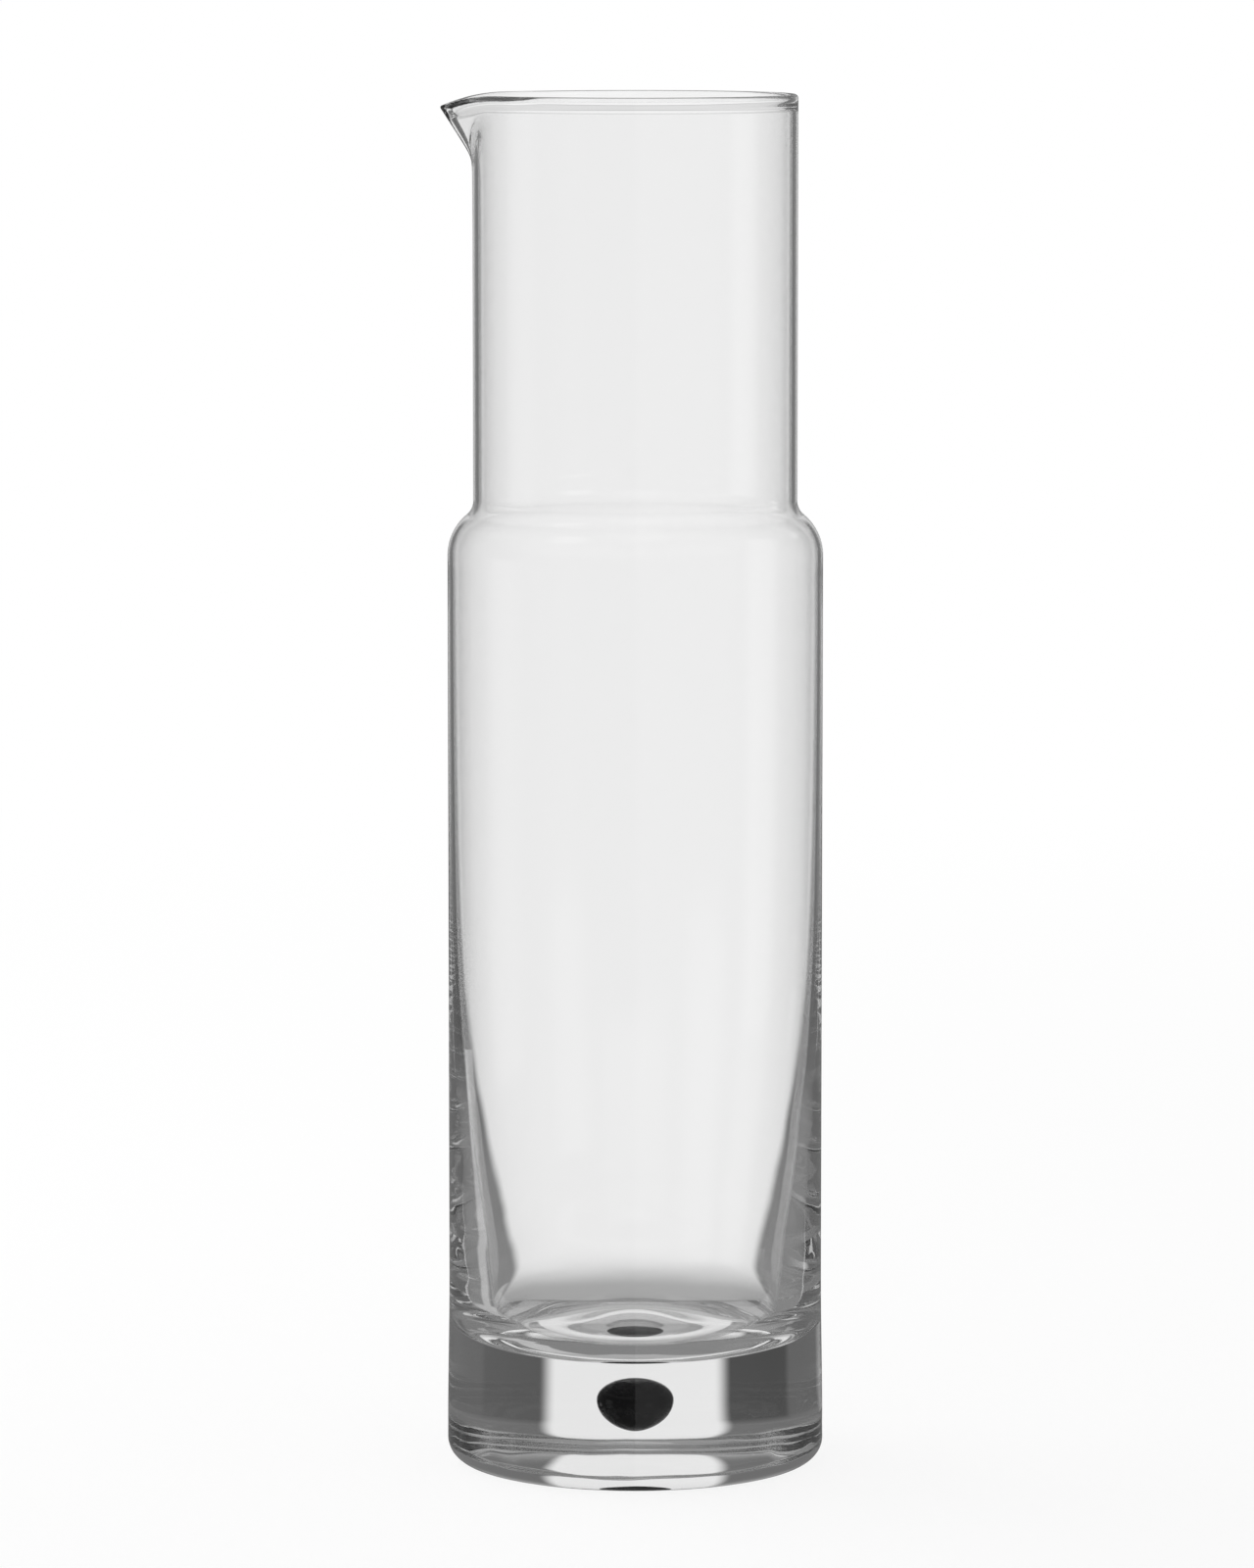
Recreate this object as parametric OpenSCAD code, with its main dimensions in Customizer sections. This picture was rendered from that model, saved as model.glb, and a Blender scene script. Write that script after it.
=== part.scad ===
// Clear glass water carafe with a stepped shoulder, a pulled pouring lip and
// a heavy solid base that has a drop of black glass cased in its centre.
// The origin is on the axis, on the table. The lip points to -X and the mouth to +Z.

/* [Outside] */
// Height from the table to the top of the rim
total_h = 293.1; // [280:0.1:330]
// Diameter of the body
body_d = 80; // [76:0.1:92]
// How far the foot stands out from the body at its widest, just above the rounded edge
foot_flare = 0.4; // [0.2:0.05:0.8]
// Height over which the foot runs out into the body
foot_h = 42; // [25:1:60]
// Radius of the rounded edge of the foot
foot_edge_r = 4.7; // [2:0.1:6]

/* [Shoulder] */
// Height at which the body starts to turn in to the neck
shoulder_z = 195.3; // [175:0.1:215]
// How far the neck steps in from the body
shoulder_step = 5.5; // [3:0.05:8]
// Radius of the outer turn of the shoulder
shoulder_r = 11; // [8:0.5:14]
// Radius of the inner turn, where the shoulder meets the neck
shoulder_fillet_r = 4; // [2:0.5:7]

/* [Hollow] */
// Wall of the neck
neck_wall = 1.15; // [0.9:0.05:2]
// Wall of the body just below the shoulder
body_wall = 1; // [0.9:0.05:2]
// Thickness of the solid glass under the lowest part of the hollow
base_t = 25.5; // [22:0.1:36]
// Radius of the corner between the floor and the wall of the hollow
floor_corner_r = 11.5; // [5:0.5:14]
// How far the floor of the hollow rises towards its middle
floor_rise = 4.1; // [0.5:0.1:8]
// Height below which the wall thickens towards the floor
taper_z = 86; // [65:1:110]
// Height over which that thickening sets in
taper_blend = 30; // [8:1:40]
// Share of the depth below that height by which the hollow narrows
taper_share = 0.14; // [0.05:0.001:0.18]

/* [Rim and lip] */
// Thickness of the rounded rim
rim_t = 1.8; // [1.4:0.05:2.6]
// Height over which the neck thickens to the rim
rim_h = 3.4; // [2.2:0.1:6]
// How far the tip of the lip stands out from the neck
lip_reach = 7.3; // [3:0.1:10]
// Height of the pulled lip, from its crease on the neck to its tip
lip_h = 11.1; // [7:0.05:16]
// How far the rim dips at the tip of the lip
lip_dip = 2.3; // [0.5:0.1:4]
// Radius of the tip of the lip, seen from above
lip_tip_r = 4; // [2:0.1:8]
// Softness of the crease round the lip
lip_blend = 0.9; // [0.3:0.1:2]
// Share of its reach by which the lip is thicker than the neck
lip_thick_share = 0.12; // [0:0.01:0.2]

/* [Drop] */
// Diameter of the black drop
drop_d = 10.9; // [6:0.1:14]
// Height of the drop from its lowest point to its top
drop_h = 11.5; // [7:0.1:13]
// Height of the drop's lowest point above the table
drop_z = 8.2; // [5:0.1:9]
// Share of the drop's height that lies above its widest place
drop_top_share = 0.42; // [0.3:0.01:0.6]
// How full the drop's lower half is, 2 for an ellipse and less for a point
drop_fullness = 1.75; // [1.4:0.05:2.5]

/* [Smoothness] */
// Steps in each turn of an outline
arc_steps = 10; // [6:1:24]
// Steps in the long curve of the hollow
taper_steps = 24; // [12:1:48]
// Steps in the curve of the hollow's floor
floor_steps = 14; // [8:1:32]
// Columns of facets round the lip
lip_columns = 96; // [72:12:120]
// Rows of facets up each side of the lip
lip_rows = 13; // [9:1:16]
// Steps over the round of the rim
rim_steps = 6; // [4:2:10]

/* [Hidden] */
$fn = 128;

body_r = body_d / 2;
neck_r = body_r - shoulder_step;
foot_r = body_r + foot_flare;
hollow_r = body_r - body_wall;
bore_r = neck_r - neck_wall;
rim_r = rim_t / 2;
drop_r = drop_d / 2;

// How far a cut runs past what it cuts
overrun = 1;
// How deep the solid of the rim and lip is let into the top of the neck's wall
tenon_h = 1.5;
// How much thinner than the wall that tenon is on each side, at its foot
tenon_gap = 0.25;
// How far the rim's solid stands proud of the wall that it closes round
lap = 0.06;
// How far below its crease the lip has run out into the round neck
lip_run_out = 4.5;

// A smooth ramp: nothing well below zero, x itself well above it.
function ramp(x, soft) = (x + sqrt(x * x + soft * soft)) / 2;

// Points along an arc from angle a0 to a1. Where it runs on from a point that is
// already in the outline, it starts at step 1.
function arc(x, y, r, a0, a1, from = 0) = [
    for (i = [from:arc_steps])
        let (a = a0 + (a1 - a0) * i / arc_steps)
        [x + r * cos(a), y + r * sin(a)]
];

// The foot runs out into the body in one smooth wave.
function foot_side(t) = [
    body_r + foot_flare * (1 + cos(180 * t)) / 2,
    foot_edge_r + (foot_h - foot_edge_r) * t
];

// The shoulder is two arcs that touch: one on the body and one on the neck.
function shoulder_rise(gap, r0, r1) = sqrt(pow(r0 + r1, 2) - pow(r0 + r1 - gap, 2));
function shoulder_turn(gap, r0, r1) = acos((r0 + r1 - gap) / (r0 + r1));

shoulder_turn_out = shoulder_turn(shoulder_step, shoulder_r, shoulder_fillet_r);
neck_z = shoulder_z + shoulder_rise(shoulder_step, shoulder_r, shoulder_fillet_r);

// Inside the glass, the outer turn is tighter by the wall and the inner one wider.
inner_shoulder_r = shoulder_r - body_wall;
inner_fillet_r = shoulder_fillet_r + neck_wall;

// The wall of the hollow, which leans in towards the floor
function lean_in(z) = taper_share * ramp(taper_z - z, taper_blend);
function hollow_wall(z) = hollow_r - lean_in(z) + lean_in(shoulder_z);
function hollow_lean(z) = let (a = taper_z - z)
    atan(taper_share * (1 + a / sqrt(a * a + taper_blend * taper_blend)) / 2);

corner_lean = hollow_lean(base_t + floor_corner_r);
corner_z = base_t + floor_corner_r * (1 - sin(corner_lean));
corner_x = hollow_wall(corner_z) - floor_corner_r * cos(corner_lean);

hollow_top_r = hollow_wall(shoulder_z);
inner_turn_out = shoulder_turn(hollow_top_r - bore_r, inner_shoulder_r, inner_fillet_r);
bore_z = shoulder_z + shoulder_rise(hollow_top_r - bore_r, inner_shoulder_r, inner_fillet_r);

// Height of the lip's crease, its tip, and the start of the rim's own solid
tip_z = total_h - lip_dip;
crease_z = tip_z - lip_h;
collar_z = crease_z - lip_run_out;
wall_top_z = collar_z + tenon_h / 3;

function outside() = concat(
    [[0, 0]],
    arc(foot_r - foot_edge_r, foot_edge_r, foot_edge_r, -90, 0),
    [for (i = [1:arc_steps]) foot_side(i / arc_steps)],
    arc(body_r - shoulder_r, shoulder_z, shoulder_r, 0, shoulder_turn_out),
    arc(neck_r + shoulder_fillet_r, neck_z, shoulder_fillet_r,
        180 + shoulder_turn_out, 180, 1),
    [[neck_r, wall_top_z], [0, wall_top_z]]
);

// The floor of the hollow, one smooth wave from its raised middle out to its corner
function hollow_floor(t) = [
    corner_x * t,
    base_t + floor_rise * (1 + cos(180 * t)) / 2
];

function hollow() = concat(
    [for (i = [0:floor_steps]) hollow_floor(i / floor_steps)],
    arc(corner_x, base_t + floor_corner_r, floor_corner_r, -90, -corner_lean, 1),
    [
        for (i = [1:taper_steps])
            let (z = corner_z + (shoulder_z - corner_z) * i / taper_steps)
            [hollow_wall(z), z]
    ],
    arc(hollow_top_r - inner_shoulder_r, shoulder_z, inner_shoulder_r, 0, inner_turn_out, 1),
    arc(bore_r + inner_fillet_r, bore_z, inner_fillet_r, 180 + inner_turn_out, 180, 1),
    [[bore_r, wall_top_z + overrun], [0, wall_top_z + overrun]]
);

// The drop is an ellipse above its widest place and comes to a soft point below.
drop_wide_z = drop_z + drop_h * (1 - drop_top_share);
function drop_outline() = concat(
    [
        for (i = [0:2 * arc_steps])
            let (a = 90 * i / (2 * arc_steps), drop = drop_wide_z - drop_z)
            [drop_r * pow(sin(a), 2 / drop_fullness), drop_wide_z - drop * cos(a)]
    ],
    [
        for (i = [1:2 * arc_steps])
            let (a = 90 * i / (2 * arc_steps), rise = drop_h * drop_top_share)
            [drop_r * cos(a), drop_wide_z + rise * sin(a)]
    ]
);

// The lip. Seen from above, two straight sides leave the round rim and meet in a
// round tip. From the side it leans out evenly from its crease on the neck.
lip_slope = lip_reach / lip_h;
tip_x = neck_r + lip_reach - lip_tip_r;
lip_half_angle = acos((neck_r - lip_tip_r) / tip_x);
tip_half_angle = atan(lip_tip_r * sin(lip_half_angle) / (tip_x + lip_tip_r * cos(lip_half_angle)));

// How far the rim stands out from the round at an angle from the lip's middle
function rim_swell(a) =
    a < tip_half_angle
        ? tip_x * cos(a) + sqrt(pow(lip_tip_r, 2) - pow(tip_x * sin(a), 2)) - neck_r
        : a < lip_half_angle
            ? neck_r / cos(lip_half_angle - a) - neck_r
            : neck_r * (1 - 1 / cos(min(a - lip_half_angle, 60)));

function from_lip(a) = abs(180 - a);
function swell(a, z) = ramp(rim_swell(from_lip(a)) - lip_slope * (tip_z - z), lip_blend);
function rim_z(a) = total_h - lip_dip * max(rim_swell(from_lip(a)), 0) / lip_reach;

// One upright slice of the rim and lip, from the tenon up the outside, over the
// round rim and down the inside. u is 0 at the bottom and 1 where the rim starts, and
// the rows lie closer together towards the rim.
function spot(a, r, z) = [r * cos(a), r * sin(a), z];
function ease(x) = let (t = min(max(x, 0), 1)) t * t * (3 - 2 * t);
function side_z(a, u) = collar_z + (rim_z(a) - rim_r - collar_z) * (1 - pow(1 - u, 1.7));
function outer_spot(a, u) = let (z = side_z(a, u)) spot(a, neck_r + lap + swell(a, z), z);
function wall_at(a, z) = neck_wall + 2 * lap + lip_thick_share * swell(a, z)
    + (rim_t - neck_wall) * ease((z - rim_z(a) + rim_h) / (rim_h - rim_r));
function inner_spot(a, u) = let (z = side_z(a, u))
    spot(a, neck_r + lap - wall_at(a, z) + swell(a, z), z);
function over_rim(a, t) = let (z = rim_z(a) - rim_r)
    spot(a, neck_r + lap + swell(a, z) - wall_at(a, z) * (1 - cos(180 * t)) / 2,
        z + rim_r * sin(180 * t));

function slice(a) = concat(
    [spot(a, neck_r - tenon_gap, collar_z - tenon_h)],
    [for (i = [0:lip_rows]) outer_spot(a, i / lip_rows)],
    [for (i = [1:rim_steps - 1]) over_rim(a, i / rim_steps)],
    [for (i = [lip_rows:-1:0]) inner_spot(a, i / lip_rows)],
    [spot(a, bore_r + tenon_gap, collar_z - tenon_h)]
);

slice_n = 2 * lip_rows + rim_steps + 3;
function corner(column, row) = (column % lip_columns) * slice_n + row % slice_n;

module rim_and_lip() {
    polyhedron(
        points = [for (c = [0:lip_columns - 1]) each slice(360 * c / lip_columns)],
        faces = [
            for (c = [0:lip_columns - 1], row = [0:slice_n - 1])
                each [
                    [corner(c, row), corner(c, row + 1), corner(c + 1, row + 1)],
                    [corner(c, row), corner(c + 1, row + 1), corner(c + 1, row)]
                ]
        ],
        convexity = 6
    );
}

module drop_solid() {
    rotate_extrude()
        polygon(drop_outline());
}

// The clear glass: everything but the drop that it cases
module vessel() {
    color([0.86, 0.9, 0.9, 0.4]) {
        difference() {
            rotate_extrude()
                polygon(outside());
            rotate_extrude()
                polygon(hollow());
            drop_solid();
        }
        rim_and_lip();
    }
}

// The black glass drop, which the clear glass closes round on every side
module black_drop() {
    color([0.03, 0.03, 0.035])
        drop_solid();
}

vessel();
black_drop();
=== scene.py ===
import math

import bmesh
import bpy
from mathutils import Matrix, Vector, noise


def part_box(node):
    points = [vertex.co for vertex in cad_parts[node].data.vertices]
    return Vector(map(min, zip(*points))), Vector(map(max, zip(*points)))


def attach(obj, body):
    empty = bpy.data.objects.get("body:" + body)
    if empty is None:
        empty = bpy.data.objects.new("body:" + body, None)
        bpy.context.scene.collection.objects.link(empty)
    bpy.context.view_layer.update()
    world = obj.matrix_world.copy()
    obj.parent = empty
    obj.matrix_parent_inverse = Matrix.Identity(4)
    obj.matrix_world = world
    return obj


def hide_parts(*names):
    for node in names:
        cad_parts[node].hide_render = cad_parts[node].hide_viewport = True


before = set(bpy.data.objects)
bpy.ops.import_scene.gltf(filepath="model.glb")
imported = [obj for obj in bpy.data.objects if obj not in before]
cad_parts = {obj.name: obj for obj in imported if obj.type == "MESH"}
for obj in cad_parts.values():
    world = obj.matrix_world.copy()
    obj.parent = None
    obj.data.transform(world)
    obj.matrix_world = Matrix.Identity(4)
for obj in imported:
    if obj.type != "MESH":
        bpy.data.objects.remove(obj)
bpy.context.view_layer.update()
print("carafe: frame loaded")

mm = 0.001
tiny = 1e-7    # metres: points this close are one
white = (1, 1, 1, 1)
radian = 180 / math.pi    # in degrees
scene = bpy.context.scene
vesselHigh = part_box("vessel")[1]
dropLow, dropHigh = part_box("black_drop")


def linkPiece(name, bm):
    mesh = bpy.data.meshes.new(name)
    bm.to_mesh(mesh)
    bm.free()
    piece = bpy.data.objects.new(name, mesh)
    scene.collection.objects.link(piece)
    return piece


# sizes are in mm, and an outline's points are (radius, height)
def arcPoints(x, z, r, start, end, steps):
    angles = [math.radians(start + (end - start) * i / steps) for i in range(steps + 1)]
    return [(x + r * math.cos(a), z + r * math.sin(a)) for a in angles]


# the points between two ends, without the ends
def linePoints(start, end, steps):
    return [tuple(s + (e - s) * i / steps for s, e in zip(start, end)) for i in range(1, steps)]


# close to 0 below zero and to x above it, with a soft bend between
def ramp(x, soft):
    return (x + math.sqrt(x * x + soft * soft)) / 2


# from 0 to 1, level at both ends
def ease(t):
    t = min(max(t, 0), 1)
    return t * t * (3 - 2 * t)


# from 1 to 0 as a cosine falls
def fall(t):
    return (1 + math.cos(math.pi * t)) / 2


def spinOutline(points, columns):
    bm = bmesh.new()
    verts = [bm.verts.new((-r * mm, 0, z * mm)) for r, z in points]
    edges = [bm.edges.new(pair) for pair in zip(verts, verts[1:])]
    bmesh.ops.spin(bm, geom=verts + edges, cent=(0, 0, 0), axis=(0, 0, 1), angle=math.tau,
                   steps=columns, use_merge=True)
    bmesh.ops.remove_doubles(bm, verts=bm.verts, dist=tiny)
    bmesh.ops.recalc_face_normals(bm, faces=bm.faces)
    for face in bm.faces:
        face.smooth = True
    return bm


# The waves are there because hot-worked glass is never quite even. Each set lies between low and high
# and is up to deep mm deep. A larger round gives more waves round the carafe, a larger up longer ones.
carafe = {
    "height": vesselHigh.z / mm,
    "footR": vesselHigh.y / mm,
    "bodyR": 40.0,
    "footH": 42.0,              # up to here the foot narrows into the body
    "footEdge": 4.7,
    "footRings": (6.0, 1.0),    # rows in the flat underside, this far in from its edge
    "shoulderZ": 195.3,
    "shoulderStep": 5.5,
    "shoulderRound": 11.0,
    "neckFillet": 4.0,
    "neckWall": 1.15,
    "bodyWall": 1.0,
    "baseThick": 25.5,          # at the edge of the hollow's floor
    "floorCorner": 11.5,
    "floorRise": 4.1,
    "taperTop": 86.0,           # below here the hollow's wall leans in
    "taperSoft": 30.0,
    "taperShare": 0.14,
    "rimThick": 1.8,
    "rimHigh": 3.4,             # over this height the wall thickens to the rim
    "lipReach": 7.18,
    "lipHeight": 11.1,
    "lipDip": 2.3,              # the tip is this much lower than the rim
    "lipTip": 4.0,
    "lipEnd": 60.0,             # degrees past the lip at which its pull has faded out
    "lipSoft": 0.9,
    "lipThickShare": 0.12,      # the inside of the lip reaches this share less
    "lipRunOut": 4.5,
    "columns": 288,
    "rows": {"edge": 14, "foot": 12, "body": 12, "round": 14, "neck": 6, "lip": 28, "rim": 12,
             "hollow": 72, "corner": 20, "floor": 32},
    "lipCrowd": 1.6,            # how much closer the rows are towards the rim
    "hollowCrowd": 0.5,         # and low down in the hollow
    "waves": {
        "hollow": {"low": 24.0, "high": 112.0, "rise": 6.0, "fade": 40.0,
                   "deep": 0.06, "round": 2.2, "up": 11.0},
        "rings": {"low": 26.0, "high": 75.0, "rise": 3.0, "fade": 30.0,
                  "deep": 0.025, "round": 0.8, "up": 3.0},
        "foot": {"low": 0.0, "high": 12.0, "rise": 1.0, "fade": 6.0,
                 "deep": 0.12, "round": 3.0, "up": 2.2},
    },
    "evenMiddle": 4.0,          # no waves this near the axis, where the columns meet
    "skinGap": 0.5,             # what is further outside the hollow's wall is the outer skin
    "ior": 1.52,
    "shade": 0.95,              # what the glass lets through to its shadow
    "density": 1.7,             # what its thickness takes away, per metre
}
neckR = carafe["bodyR"] - carafe["shoulderStep"]
rimZ = carafe["height"] - carafe["rimThick"] / 2
tipZ = carafe["height"] - carafe["lipDip"]
collarZ = tipZ - carafe["lipHeight"] - carafe["lipRunOut"]    # the lip is pulled above here


def leanIn(z):
    return carafe["taperShare"] * ramp(carafe["taperTop"] - z, carafe["taperSoft"])


def hollowWall(z):
    return carafe["bodyR"] - carafe["bodyWall"] - leanIn(z) + leanIn(carafe["shoulderZ"])


# the lean of the hollow's wall in degrees
def hollowLean(z):
    a = carafe["taperTop"] - z
    return math.degrees(math.atan(carafe["taperShare"] * (1 + a / math.hypot(a, carafe["taperSoft"])) / 2))


def neckWall(z):
    c = carafe
    t = (z - c["height"] + c["rimHigh"]) / (c["rimHigh"] - c["rimThick"] / 2)
    return c["neckWall"] + (c["rimThick"] - c["neckWall"]) * ease(t)


# two arcs that meet and step in: how far each turns, in degrees, and how far they rise
def shoulderTurn(inward, outer, inner):
    both = outer + inner
    turn = math.degrees(math.acos((both - inward) / both))
    rise = math.sqrt(both ** 2 - (both - inward) ** 2)
    return turn, rise


def outsidePoints():
    c = carafe
    rows = c["rows"]
    flare = c["footR"] - c["bodyR"]
    edge = c["footEdge"]
    flatR = c["footR"] - edge
    points = [(0, 0)] + [(flatR - ring, 0) for ring in c["footRings"]]
    points += arcPoints(flatR, edge, edge, -90, 0, rows["edge"])
    for i in range(1, rows["foot"] + 1):
        t = i / rows["foot"]
        points.append((c["bodyR"] + flare * fall(t), edge + (c["footH"] - edge) * t))
    turn, rise = shoulderTurn(c["shoulderStep"], c["shoulderRound"], c["neckFillet"])
    neckZ = c["shoulderZ"] + rise
    points += linePoints(points[-1], (c["bodyR"], c["shoulderZ"]), rows["body"])
    points += arcPoints(c["bodyR"] - c["shoulderRound"], c["shoulderZ"], c["shoulderRound"], 0, turn,
                        rows["round"])
    points += arcPoints(neckR + c["neckFillet"], neckZ, c["neckFillet"], 180 + turn, 180, rows["round"])[1:]
    return points


def rimPoints(start):
    rows = carafe["rows"]
    rimR = carafe["rimThick"] / 2
    crowd = [1 - (1 - i / rows["lip"]) ** carafe["lipCrowd"] for i in range(rows["lip"])]
    heights = [collarZ + (rimZ - collarZ) * share for share in crowd]
    points = linePoints(start, (neckR, collarZ), rows["neck"])
    points += [(neckR, z) for z in heights]
    points += arcPoints(neckR - rimR, rimZ, rimR, 0, 180, rows["rim"])
    points += [(neckR - neckWall(z), z) for z in reversed(heights)]
    return points


def hollowPoints(start):
    c = carafe
    rows = c["rows"]
    bore = neckR - c["neckWall"]
    hollowTop = hollowWall(c["shoulderZ"])
    innerRound = c["shoulderRound"] - c["bodyWall"]
    innerFillet = c["neckFillet"] + c["neckWall"]
    turn, rise = shoulderTurn(hollowTop - bore, innerRound, innerFillet)
    boreZ = c["shoulderZ"] + rise
    points = linePoints(start, (bore, boreZ), rows["neck"])
    points += arcPoints(bore + innerFillet, boreZ, innerFillet, 180, 180 + turn, rows["round"])
    points += arcPoints(hollowTop - innerRound, c["shoulderZ"], innerRound, turn, 0, rows["round"])[1:]
    middleZ = c["baseThick"] + c["floorCorner"]
    lean = hollowLean(middleZ)
    cornerZ = c["baseThick"] + c["floorCorner"] * (1 - math.sin(math.radians(lean)))
    cornerX = hollowWall(cornerZ) - c["floorCorner"] * math.cos(math.radians(lean))
    for i in range(1, rows["hollow"]):
        u = i / rows["hollow"]
        z = c["shoulderZ"] + (cornerZ - c["shoulderZ"]) * u * (1 + c["hollowCrowd"] * (1 - u))
        points.append((hollowWall(z), z))
    points += arcPoints(cornerX, middleZ, c["floorCorner"], -lean, -90, rows["corner"])
    for i in range(1, rows["floor"] + 1):    # the floor rises to the middle in one smooth wave
        t = 1 - i / rows["floor"]
        points.append((cornerX * t, c["baseThick"] + c["floorRise"] * fall(t)))
    return points


def carafeOutline():
    points = outsidePoints()
    points += rimPoints(points[-1])
    points += hollowPoints(points[-1])
    return points


# how far out the rim is pulled, at an angle in radians from the middle of the lip
def rimSwell(a):
    tipR = carafe["lipTip"]
    tipX = neckR + carafe["lipReach"] - tipR
    half = math.acos((neckR - tipR) / tipX)
    tipHalf = math.atan(tipR * math.sin(half) / (tipX + tipR * math.cos(half)))
    if a < tipHalf:
        return tipX * math.cos(a) + math.sqrt(tipR ** 2 - (tipX * math.sin(a)) ** 2) - neckR
    if a < half:
        return neckR / math.cos(half - a) - neckR
    return neckR * (1 - 1 / math.cos(min(a - half, math.radians(carafe["lipEnd"]))))


def pullLip(bm):
    c = carafe
    low, high = collarZ * mm, c["height"] * mm
    slope = c["lipReach"] / c["lipHeight"]
    for v in bm.verts:
        if v.co.z < low - tiny:
            continue
        out = rimSwell(abs(math.atan2(v.co.y, -v.co.x)))
        dip = c["lipDip"] * max(out, 0) / c["lipReach"] * mm
        z = low + (v.co.z - low) * (high - dip - low) / (high - low)
        swell = ramp(out - slope * (tipZ - z / mm), c["lipSoft"]) * mm
        r = math.hypot(v.co.x, v.co.y)
        inner = min((neckR - r / mm) / neckWall(v.co.z / mm), 1)
        grow = (r + swell * (1 - c["lipThickShare"] * inner)) / r
        v.co = Vector((v.co.x * grow, v.co.y * grow, z))


def waveDepth(wave, a, z):
    share = ease((z - wave["low"]) / wave["rise"]) * ease((wave["high"] - z) / wave["fade"])
    if share == 0:
        return 0
    spot = Vector((math.cos(a) * wave["round"], math.sin(a) * wave["round"], z / wave["up"]))
    return wave["deep"] * share * noise.noise(spot)


def makeUneven(bm):
    waves = carafe["waves"]
    top = max(wave["high"] for wave in waves.values())
    for v in bm.verts:
        r, z = math.hypot(v.co.x, v.co.y) / mm, v.co.z / mm
        if r < carafe["evenMiddle"] or z > top:
            continue
        a = math.atan2(v.co.y, v.co.x)
        if r > hollowWall(z) + carafe["skinGap"]:
            move = -abs(waveDepth(waves["foot"], a, z))    # only inwards
        else:
            move = waveDepth(waves["hollow"], a, z) + waveDepth(waves["rings"], a, z)
        grow = (r + move) / r
        v.co = Vector((v.co.x * grow, v.co.y * grow, v.co.z))


def makeCarafe():
    bm = spinOutline(carafeOutline(), carafe["columns"])
    pullLip(bm)
    makeUneven(bm)
    return linkPiece("carafeGlass", bm)


drop = {
    "topShare": 0.42,    # of its height, above the widest place
    "fullness": 1.75,    # of the lower half: 2 is an ellipse, less is more pointed
    "rows": 24,          # in each half
    "columns": 96,
    "color": (0.0015, 0.0015, 0.0018, 1),
    "ior": 1.3,          # low, because the clear glass round it dulls its gloss
}


def makeDrop():
    low, high = dropLow.z / mm, dropHigh.z / mm
    r = dropHigh.y / mm
    wideZ = low + (high - low) * (1 - drop["topShare"])
    turns = [math.pi / 2 * i / drop["rows"] for i in range(drop["rows"] + 1)]
    points = [(r * math.sin(a) ** (2 / drop["fullness"]), wideZ - (wideZ - low) * math.cos(a))
              for a in turns]
    points += [(r * math.cos(a), wideZ + (high - wideZ) * math.sin(a)) for a in turns[1:]]
    return linkPiece("blackDrop", spinOutline(points, drop["columns"]))


def newTree(owner):
    owner.use_nodes = True
    owner.node_tree.nodes.clear()
    return owner.node_tree


# a value is set on the socket, and another node's output is linked to it
def fillSocket(tree, socket, value):
    if hasattr(value, "links"):
        tree.links.new(value, socket)
    else:
        socket.default_value = value


def addNode(tree, kind, inputs=None, **settings):
    node = tree.nodes.new(kind)
    for key, value in settings.items():
        setattr(node, key, value)
    for key, value in (inputs or {}).items():
        fillSocket(tree, node.inputs[key], value)
    return node


def calc(tree, operation, *values):
    node = addNode(tree, "ShaderNodeMath", dict(enumerate(values)), operation=operation)
    return node.outputs[0]


def step(tree, value, start, end):
    node = addNode(tree, "ShaderNodeMapRange", {"Value": value, "From Min": start, "From Max": end},
                   interpolation_type="SMOOTHSTEP")
    return node.outputs["Result"]


def mixValue(tree, share, a, b):
    node = addNode(tree, "ShaderNodeMix", {"Factor": share, "A": a, "B": b})
    return node.outputs["Result"]


def mixShader(tree, share, a, b):
    node = addNode(tree, "ShaderNodeMixShader", {0: share, 1: a.outputs[0], 2: b.outputs[0]})
    return node.outputs[0]


def objectPlace(tree):
    return addNode(tree, "ShaderNodeTexCoord").outputs["Object"]


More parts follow.
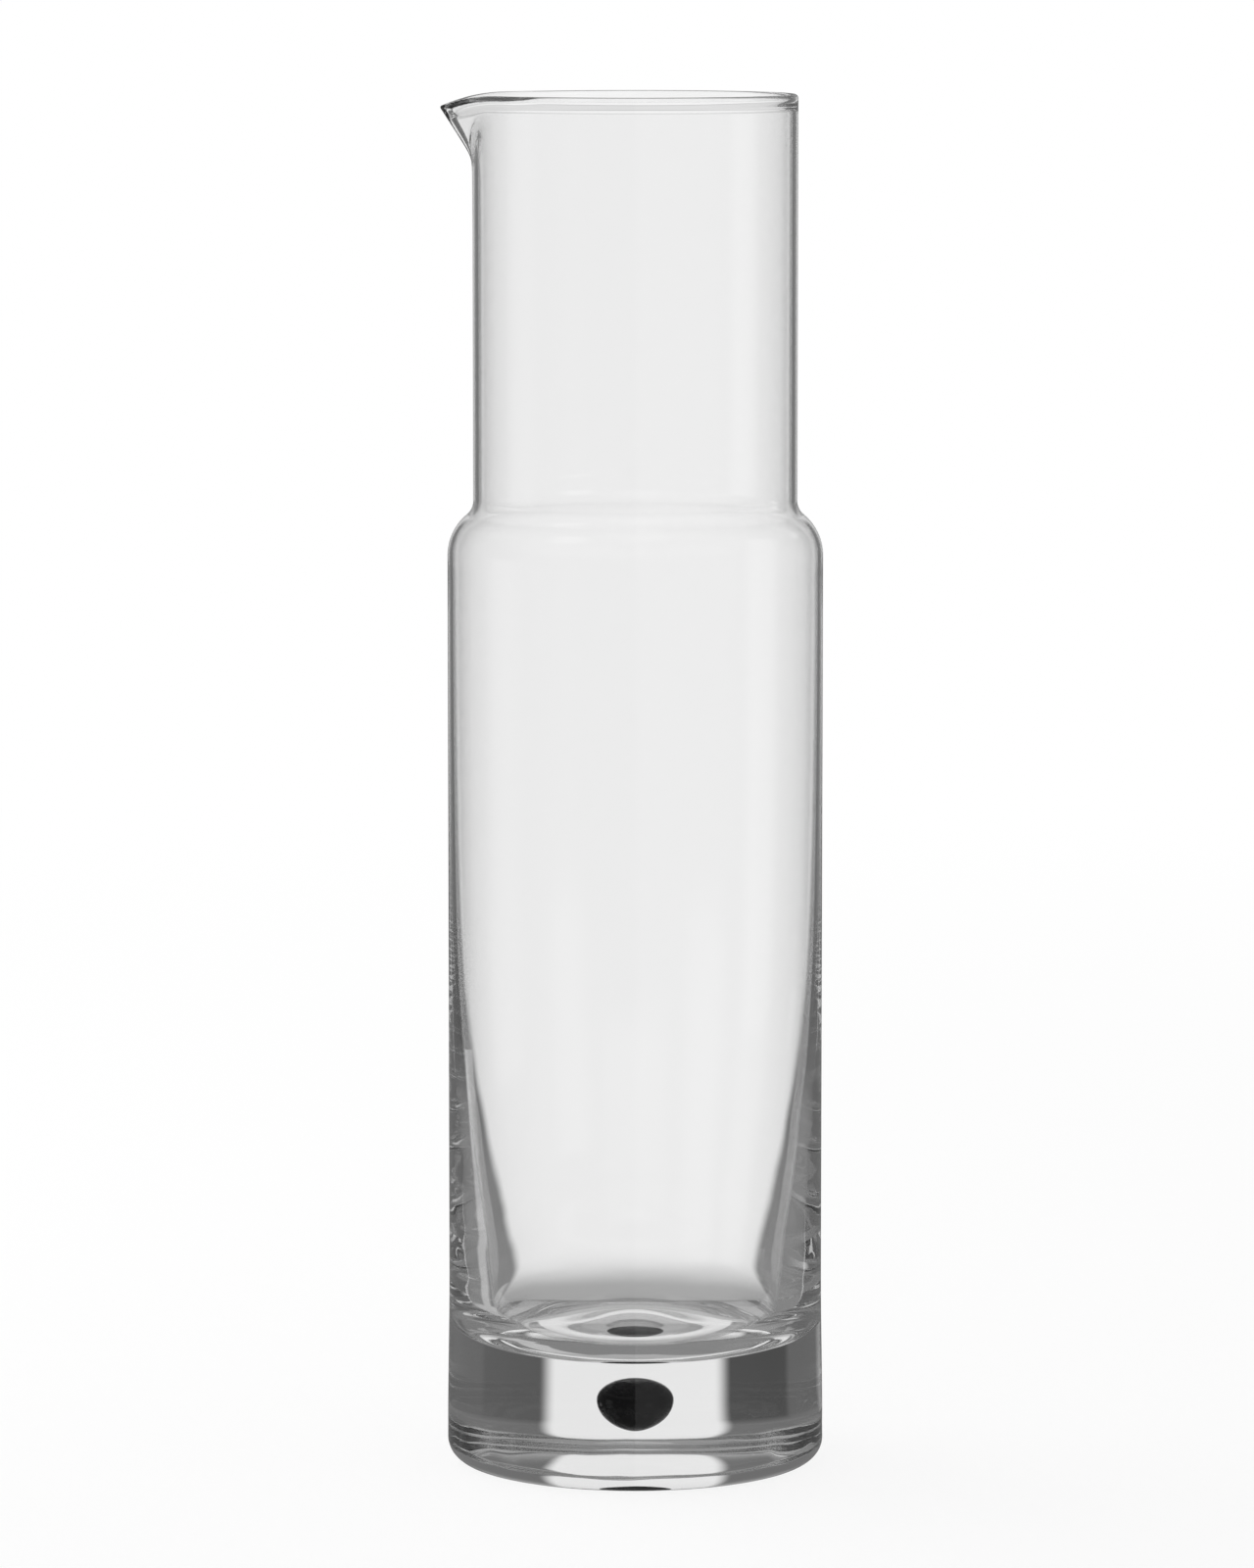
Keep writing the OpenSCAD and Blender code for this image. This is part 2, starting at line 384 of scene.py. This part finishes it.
# what the glass looks through to, in degrees of compass, from +Y towards +X, and of height:
# white screens in a dim studio, and two glowing white cards, in metres
studio = {
    "screens": [
        {"at": 0, "half": 12, "soft": 8, "low": 9, "high": 58, "fade": 3, "level": 0.77},
        {"at": -36, "half": 18, "soft": 8, "low": -50, "high": -31, "fade": 3, "level": 0.55},
        {"at": 180, "half": 18, "soft": 8, "low": -60, "high": -18, "fade": 6, "level": 0.4},
        {"at": -90, "half": 4, "soft": 20, "low": -18, "high": 3, "fade": 4, "level": 0.72},
        {"at": 135, "half": 4, "soft": 20, "low": -30, "high": -12, "fade": 5, "level": 0.8},
        {"at": 137, "half": 30, "soft": 24, "low": -40, "high": 40, "fade": 6, "level": 0.27},
        {"at": 180, "half": 66, "soft": 10, "low": 26, "high": 46, "fade": 6, "level": 0.5},
    ],
    # the cards glow at level high up and only at rest low down: painted shade of the table close to the
    # foot
    "cards": [
        {"at": 0, "away": 0.42, "half": 0.1315, "soft": 0.035, "low": -1.1, "high": 0.35,
         "fade": (-0.08, -0.355), "level": 0.965, "rest": 0.42},
        {"at": -45, "away": 3.0, "half": 0.3, "soft": 0.24, "low": -2.6, "high": -0.8,
         "fade": (-0.95, -1.3), "level": 0.95, "rest": 0.52},
    ],
    "flag": (0.055, 0.1),         # dark cards low down beside the back card, towards -X and +X
    "flagTurn": (-10.0, 10.0),
    "side": 0.13,                 # further round
    "sideTurn": (42.0, 46.0),
    "eye": 0.17,                  # the room at eye height
    "eyeRise": (-15.0, -1.0),
    "above": 0.38,                # the ceiling
    "aboveRise": (18.0, 36.0),
    "below": 0.24,                # the table
    "belowRise": (-23.0, -14.0),
    "room": 0.2,                  # what the glass mirrors from behind and the sides
    "roomLeft": 0.07,             # and from beside the camera
    "roomRight": 0.36,
    "roomTurn": (80.0, 120.0),
    "air": 0.75,                  # what lights the paper
    "lamp": {"place": (-0.9, 0.5, 1.6), "aim": (0, 0, 0.1), "size": 1.2, "power": 12},
}


def compass(tree, vector):
    split = addNode(tree, "ShaderNodeSeparateXYZ", {"Vector": vector}).outputs
    azimuth = calc(tree, "ARCTAN2", split["X"], split["Y"])
    height = calc(tree, "ARCSINE", split["Z"])
    return [calc(tree, "MULTIPLY", angle, radian) for angle in (azimuth, height)]


def screenShare(tree, azimuth, height, screen):
    turned = calc(tree, "SUBTRACT", azimuth, screen["at"])
    away = calc(tree, "PINGPONG", turned, 180.0)
    beside = step(tree, away, screen["half"], screen["half"] + screen["soft"])
    inside = calc(tree, "SUBTRACT", 1.0, beside)
    above = step(tree, height, screen["low"] - screen["fade"], screen["low"])
    below = step(tree, height, screen["high"], screen["high"] + screen["fade"])
    below = calc(tree, "SUBTRACT", 1.0, below)
    return calc(tree, "MULTIPLY", inside, calc(tree, "MULTIPLY", above, below))


def seenThrough(tree, azimuth, height):
    s = studio
    flag = mixValue(tree, step(tree, azimuth, *s["flagTurn"]), *s["flag"])
    away = calc(tree, "ABSOLUTE", azimuth)
    level = mixValue(tree, step(tree, away, *s["sideTurn"]), flag, s["side"])
    level = mixValue(tree, step(tree, height, *s["eyeRise"]), level, s["eye"])
    level = mixValue(tree, step(tree, height, *s["belowRise"]), s["below"], level)
    level = mixValue(tree, step(tree, height, *s["aboveRise"]), level, s["above"])
    for screen in s["screens"]:
        share = screenShare(tree, azimuth, height, screen)
        level = calc(tree, "MAXIMUM", level, calc(tree, "MULTIPLY", share, screen["level"]))
    return level


def mirrored(tree, azimuth):
    start, end = studio["roomTurn"]
    level = mixValue(tree, step(tree, azimuth, start, end), studio["room"], studio["roomRight"])
    return mixValue(tree, step(tree, azimuth, -start, -end), level, studio["roomLeft"])


def makeWorld():
    world = bpy.data.worlds.new("studio")
    scene.world = world
    tree = newTree(world)
    where = addNode(tree, "ShaderNodeTexCoord").outputs["Generated"]
    azimuth, height = compass(tree, where)
    ray = addNode(tree, "ShaderNodeLightPath").outputs
    inGlass = mixValue(tree, ray["Is Transmission Ray"], mirrored(tree, azimuth),
                       seenThrough(tree, azimuth, height))
    isSharp = calc(tree, "MAXIMUM", ray["Is Glossy Ray"], ray["Is Transmission Ray"])
    rest = mixValue(tree, ray["Is Camera Ray"], studio["air"], 1.0)
    level = mixValue(tree, isSharp, rest, inGlass)
    background = addNode(tree, "ShaderNodeBackground", {"Color": white, "Strength": level})
    addNode(tree, "ShaderNodeOutputWorld", {"Surface": background.outputs[0]})


# a glowing white card that only the glass looks through to, so that it lights nothing
def makeCard(card):
    turn = math.radians(card["at"])
    across = Vector((math.cos(turn), -math.sin(turn), 0))
    along = Vector((math.sin(turn), math.cos(turn), 0))
    wide = card["half"] + card["soft"] / 2
    bm = bmesh.new()
    bmesh.ops.create_grid(bm, x_segments=1, y_segments=1, size=1)
    for v in bm.verts:
        z = card["high"] if v.co.y > 0 else card["low"]
        v.co = across * v.co.x * wide + along * card["away"] + Vector((0, 0, z))
    piece = linkPiece("card" + str(card["at"] % 360), bm)
    for ray in ("camera", "diffuse", "glossy", "volume_scatter", "shadow"):
        setattr(piece, "visible_" + ray, False)
    material = bpy.data.materials.new(piece.name)
    material.cycles.emission_sampling = "NONE"
    tree = newTree(material)
    where = objectPlace(tree)
    side = addNode(tree, "ShaderNodeVectorMath", {0: where, 1: across}, operation="DOT_PRODUCT")
    height = addNode(tree, "ShaderNodeSeparateXYZ", {"Vector": where}).outputs["Z"]
    start, end = card["fade"]
    # dimmer glow low down: painted shade of the table close to the foot, as the glass sees it
    glow = mixValue(tree, step(tree, height, end, start), card["rest"], card["level"])
    light = addNode(tree, "ShaderNodeEmission", {"Color": white, "Strength": glow})
    beside = addNode(tree, "ShaderNodeBsdfTransparent")
    away = calc(tree, "ABSOLUTE", side.outputs["Value"])
    edge = step(tree, away, card["half"] - card["soft"] / 2, wide)
    addNode(tree, "ShaderNodeOutputMaterial", {"Surface": mixShader(tree, edge, light, beside)})
    piece.data.materials.append(material)


def makeLamp(lamp):
    data = bpy.data.lights.new("softTop", "AREA")
    data.shape = "DISK"
    data.size = lamp["size"]
    data.energy = lamp["power"]
    light = bpy.data.objects.new("softTop", data)
    light.location = lamp["place"]
    aim = Vector(lamp["aim"]) - Vector(lamp["place"])
    light.rotation_euler = aim.to_track_quat("-Z", "Y").to_euler()
    light.visible_glossy = False
    light.visible_transmission = False
    scene.collection.objects.link(light)


floor = {
    "radius": 12.0,
    "drop": 0.0003,          # clear of the foot
    "columns": 96,
    "paint": 0.94,
    "ownLight": 0.6,         # share of it that is plain white to the camera, near the carafe
    "whiteOut": (0.3, 1.2),  # metres from the carafe over which all of it turns white
}


def makeFloor():
    bm = bmesh.new()
    bmesh.ops.create_circle(bm, cap_ends=True, segments=floor["columns"], radius=floor["radius"])
    bmesh.ops.translate(bm, verts=bm.verts, vec=(0, 0, -floor["drop"]))
    piece = linkPiece("studioFloor", bm)
    piece.visible_transmission = False
    piece.visible_glossy = False
    material = bpy.data.materials.new("palePaper")
    tree = newTree(material)
    radius = addNode(tree, "ShaderNodeVectorMath", {0: objectPlace(tree)}, operation="LENGTH")
    ray = addNode(tree, "ShaderNodeLightPath").outputs
    paper = addNode(tree, "ShaderNodeBsdfDiffuse", {"Color": (floor["paint"],) * 3 + (1,)})
    glow = addNode(tree, "ShaderNodeEmission", {"Color": white, "Strength": 1.0})
    share = mixValue(tree, step(tree, radius.outputs["Value"], *floor["whiteOut"]), floor["ownLight"], 1.0)
    share = calc(tree, "MULTIPLY", share, ray["Is Camera Ray"])
    addNode(tree, "ShaderNodeOutputMaterial", {"Surface": mixShader(tree, share, paper, glow)})
    piece.data.materials.append(material)


def clearGlass():
    material = bpy.data.materials.new("clearGlass")
    tree = newTree(material)
    body = addNode(tree, "ShaderNodeBsdfPrincipled", {
        "Base Color": white, "Roughness": 0.0, "IOR": carafe["ior"], "Transmission Weight": 1.0})
    ray = addNode(tree, "ShaderNodeLightPath").outputs
    letThrough = addNode(tree, "ShaderNodeBsdfTransparent", {"Color": (carafe["shade"],) * 3 + (1,)})
    soft = calc(tree, "MAXIMUM", ray["Is Shadow Ray"], ray["Is Diffuse Ray"])
    depth = addNode(tree, "ShaderNodeVolumeAbsorption", {
        "Color": (0, 0, 0, 1), "Density": carafe["density"]})
    addNode(tree, "ShaderNodeOutputMaterial", {
        "Surface": mixShader(tree, soft, body, letThrough), "Volume": depth.outputs[0]})
    return material


def blackGlass():
    material = bpy.data.materials.new("blackGlass")
    tree = newTree(material)
    body = addNode(tree, "ShaderNodeBsdfPrincipled", {
        "Base Color": drop["color"], "Roughness": 0.0, "IOR": drop["ior"]})
    addNode(tree, "ShaderNodeOutputMaterial", {"Surface": body.outputs[0]})
    return material


# metres and degrees
photoCamera = {"lens": 173.7, "back": 1.60647, "up": 0.33217, "down": 6.605, "left": 0.063, "far": 100}


def makeCamera():
    c = photoCamera
    data = bpy.data.cameras.new("photoCamera")
    data.lens = c["lens"]
    data.clip_end = c["far"]
    camera = bpy.data.objects.new("photoCamera", data)
    camera.location = (0, -c["back"], c["up"])
    camera.rotation_euler = (math.radians(90 - c["down"]), 0, math.radians(c["left"]))
    scene.collection.objects.link(camera)
    scene.camera = camera


makeCamera()
makeWorld()
makeFloor()
for card in studio["cards"]:
    makeCard(card)
makeLamp(studio["lamp"])
print("carafe: camera, paper and studio ready")

glass = makeCarafe()
glass.data.materials.append(clearGlass())
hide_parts("vessel")
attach(glass, "root")
print("carafe: clear glass in place")

black = makeDrop()
black.data.materials.append(blackGlass())
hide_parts("black_drop")
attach(black, "root")
print("carafe: black drop in place")

bounces = 256    # light is led round the rim and the foot
scene.view_settings.view_transform = "Standard"
scene.cycles.max_bounces = bounces
scene.cycles.transmission_bounces = bounces
scene.cycles.glossy_bounces = bounces
